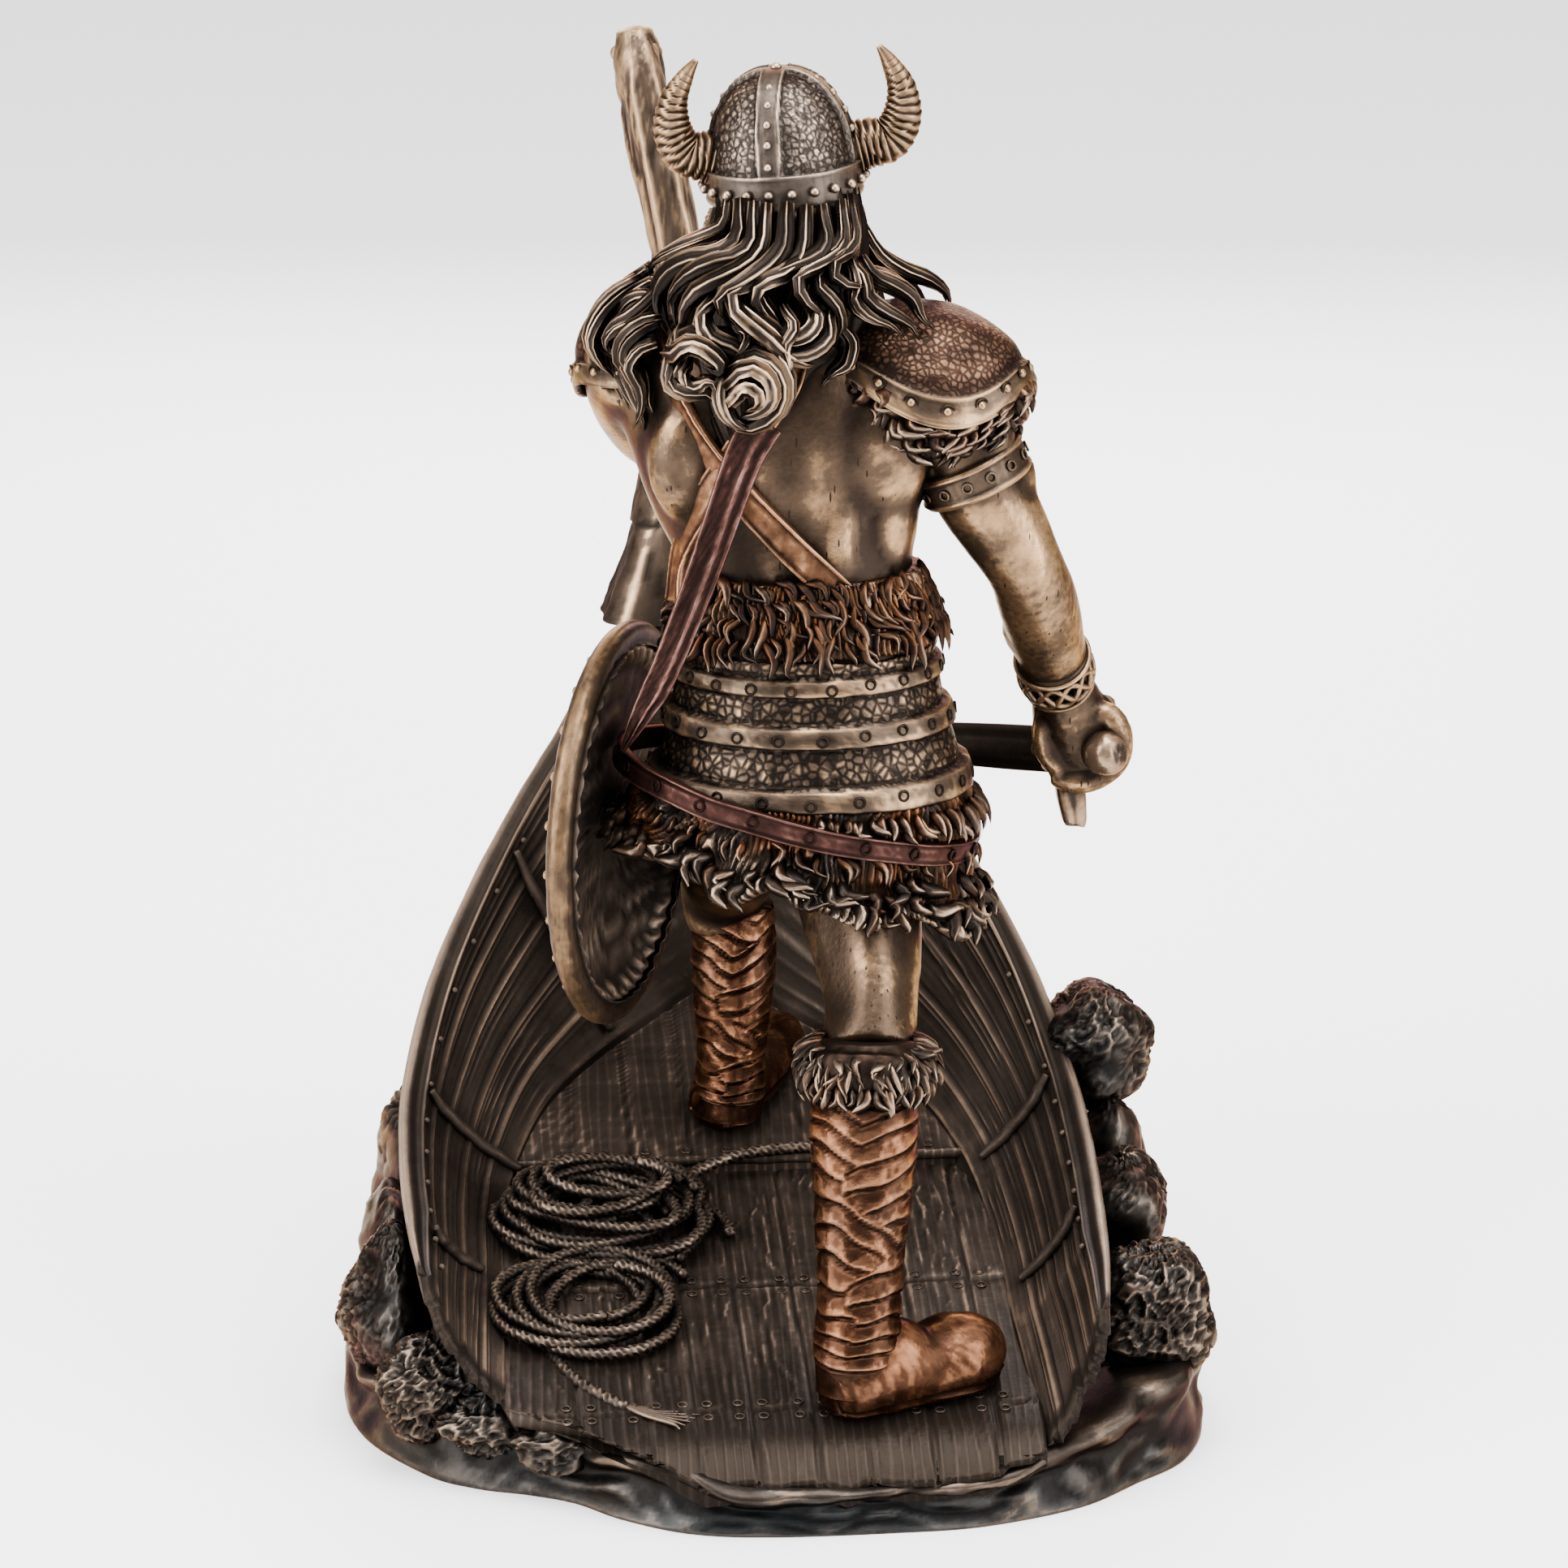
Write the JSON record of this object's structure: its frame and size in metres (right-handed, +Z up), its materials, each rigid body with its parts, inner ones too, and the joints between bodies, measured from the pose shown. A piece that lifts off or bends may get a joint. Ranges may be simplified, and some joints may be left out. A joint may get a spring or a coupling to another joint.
{
  "type": "viking warrior statue",
  "caption": "Bronze-look figurine of a horned-helmed warrior with sword and shield, striding up the deck of a cut-away ship bow on a wave and rock plinth.",
  "frame": {"origin": "centre of the bounding box on the plane the plinth stands on", "axes": "+Z up, +Y the way the warrior and the ship's bow face, +X to starboard"},
  "size_m": [0.1762, 0.1834, 0.2802],
  "materials": {
    "dark_bronze": "satin",
    "warm_bronze": "satin"
  },
  "bodies": {
    "root": {"ship_base": "dark_bronze", "figurehead": "dark_bronze", "warrior": "warm_bronze", "sword": "dark_bronze", "shield": "warm_bronze"}
  },
  "joints": []
}
